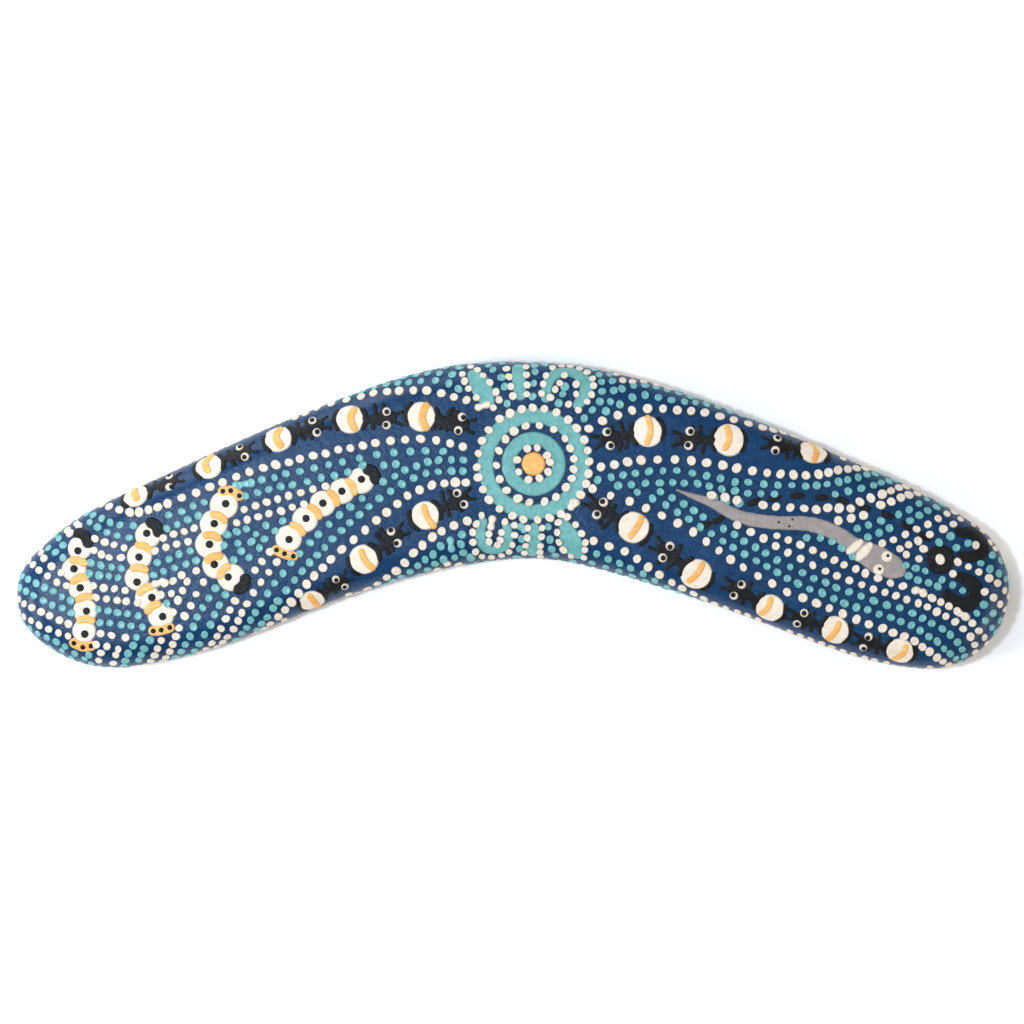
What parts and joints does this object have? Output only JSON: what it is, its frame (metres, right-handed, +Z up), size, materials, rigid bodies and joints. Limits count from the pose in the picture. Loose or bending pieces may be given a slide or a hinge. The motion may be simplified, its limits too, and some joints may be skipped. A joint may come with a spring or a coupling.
{
  "type": "boomerang",
  "caption": "Thick carved wooden boomerang with a flat back, its face and round rim painted navy with raised dots, ants, grubs, a snake and a ringed roundel.",
  "frame": {"origin": "on the flat back, under the middle of the outline's box", "axes": "+X along the span from tip to tip, +Y towards the elbow, +Z up out of the painted face"},
  "size_m": [0.35, 0.108, 0.0164],
  "materials": {
    "timber": "oiled",
    "navy_paint": "satin acrylic paint",
    "turquoise_paint": "satin acrylic paint",
    "cream_paint": "satin acrylic paint",
    "ochre_paint": "satin acrylic paint",
    "black_paint": "satin acrylic paint",
    "grey_paint": "satin acrylic paint"
  },
  "bodies": {
    "root": {"wooden_blade": "timber", "ground_coat": "navy_paint", "roundel_centre": "ochre_paint", "roundel_inner_ring": "turquoise_paint", "roundel_outer_ring": "turquoise_paint", "ant_abdomen_01": "cream_paint", "ant_abdomen_02": "cream_paint", "ant_abdomen_03": "cream_paint", "ant_abdomen_04": "cream_paint", "ant_abdomen_05": "cream_paint", "ant_abdomen_06": "cream_paint", "ant_abdomen_07": "cream_paint", "ant_abdomen_08": "cream_paint", "ant_abdomen_09": "cream_paint", "ant_abdomen_10": "cream_paint", "ant_abdomen_11": "cream_paint", "ant_abdomen_12": "cream_paint", "ant_abdomen_13": "cream_paint", "ant_abdomen_14": "cream_paint", "ant_abdomen_15": "cream_paint", "ant_abdomen_16": "cream_paint", "ant_body_01": "black_paint", "ant_body_02": "black_paint", "ant_body_03": "black_paint", "ant_body_04": "black_paint", "ant_body_05": "black_paint", "ant_body_06": "black_paint", "ant_body_07": "black_paint", "ant_body_08": "black_paint", "ant_body_09": "black_paint", "ant_body_10": "black_paint", "ant_body_11": "black_paint", "ant_body_12": "black_paint", "ant_body_13": "black_paint", "ant_body_14": "black_paint", "ant_body_15": "black_paint", "ant_body_16": "black_paint", "grub_1": "cream_paint", "grub_2": "cream_paint", "grub_3": "cream_paint", "grub_4": "cream_paint", "snake": "grey_paint", "petal_top_left": "turquoise_paint", "petal_top_middle": "turquoise_paint", "petal_top_right": "turquoise_paint", "petal_bottom_left": "turquoise_paint", "petal_bottom_middle": "turquoise_paint", "petal_bottom_right": "turquoise_paint", "track_disc": "black_paint", "track_hook_upper": "black_paint", "track_hook_lower": "black_paint"}
  },
  "joints": []
}
